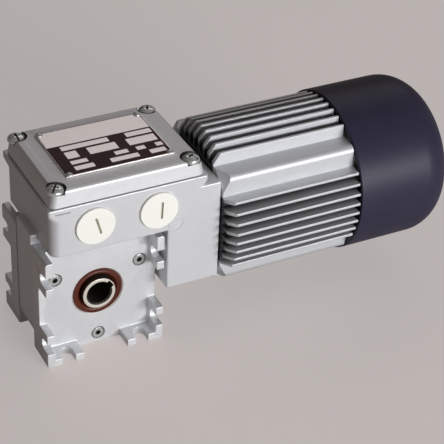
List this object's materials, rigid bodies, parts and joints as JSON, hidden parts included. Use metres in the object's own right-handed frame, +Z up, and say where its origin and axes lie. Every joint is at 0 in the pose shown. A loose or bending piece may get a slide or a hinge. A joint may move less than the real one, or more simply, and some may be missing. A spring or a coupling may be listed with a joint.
{
  "type": "worm gear motor",
  "caption": "Right-angle worm gear motor: slotted square gearbox with keyed hollow shaft, terminal box with nameplate, finned motor and rounded fan cover.",
  "frame": {"origin": "on the hollow shaft's axis, half way through the gearbox", "axes": "+X along the motor towards the fan cover, -Y out of the front cover with the cable plugs above it, +Z up through the terminal box"},
  "size_m": [0.26, 0.0988, 0.1193],
  "materials": {
    "cast_paint": "silver-grey paint",
    "aluminium": "machined, satin",
    "steel": "ground",
    "zinc": "zinc plated",
    "bronze": "machined bronze",
    "seal_rubber": "dark red-brown, satin",
    "gasket_rubber": "matt",
    "white_plastic": "satin",
    "black_plastic": "dark blue-black, satin",
    "label": "printed, satin",
    "lamination": "oxidised",
    "copper": "varnished copper wire",
    "terminal_plastic": "matt"
  },
  "bodies": {
    "housing": {"gear_case": "cast_paint", "front_cover": "cast_paint", "rear_cover": "cast_paint", "front_cover_screw_1": "zinc", "front_cover_screw_2": "zinc", "front_cover_screw_3": "zinc", "rear_cover_screw_1": "zinc", "rear_cover_screw_2": "zinc", "rear_cover_screw_3": "zinc", "front_output_bearing_outer_ring": "steel", "rear_output_bearing_outer_ring": "steel", "front_oil_seal": "seal_rubber", "rear_oil_seal": "seal_rubber", "lid_gasket": "gasket_rubber", "terminal_box_lid": "cast_paint", "lid_screw_1": "zinc", "lid_screw_2": "zinc", "lid_screw_3": "zinc", "lid_screw_4": "zinc", "nameplate": "label", "nameplate_rivet_1": "zinc", "nameplate_rivet_2": "zinc", "nameplate_rivet_3": "zinc", "nameplate_rivet_4": "zinc", "left_cable_plug": "white_plastic", "right_cable_plug": "white_plastic", "terminal_block": "terminal_plastic", "motor_frame": "aluminium", "stator_core": "lamination", "front_winding": "copper", "rear_winding": "copper", "worm_nose_bearing_outer_ring": "steel", "front_motor_bearing_outer_ring": "steel", "rear_motor_bearing_outer_ring": "steel", "motor_shaft_seal": "seal_rubber", "rear_end_shield": "aluminium", "wave_spring": "steel", "tie_rod_1": "zinc", "tie_rod_2": "zinc", "tie_rod_3": "zinc", "tie_rod_4": "zinc", "fan_cover": "black_plastic"},
    "output_shaft": {"hollow_output_shaft": "steel", "worm_wheel": "bronze", "front_output_bearing_inner_ring": "steel", "rear_output_bearing_inner_ring": "steel"},
    "motor_rotor": {"motor_shaft": "steel", "rotor": "lamination", "worm_nose_bearing_inner_ring": "steel", "front_motor_bearing_inner_ring": "steel", "rear_motor_bearing_inner_ring": "steel", "cooling_fan": "black_plastic", "fan_retaining_ring": "steel"}
  },
  "joints": [
    {"name": "motor_spin", "type": "hinge", "parent": "housing", "child": "motor_rotor", "pos_m": [0, 0, 0.031], "axis": [1, 0, 0], "continuous": true},
    {"name": "output_spin", "type": "hinge", "parent": "housing", "child": "output_shaft", "pos_m": [0, 0, 0], "axis": [0, 1, 0], "continuous": true}
  ],
  "couplings": [
    {"joint": "output_spin", "follows": "motor_spin", "ratio": -0.033333}
  ]
}
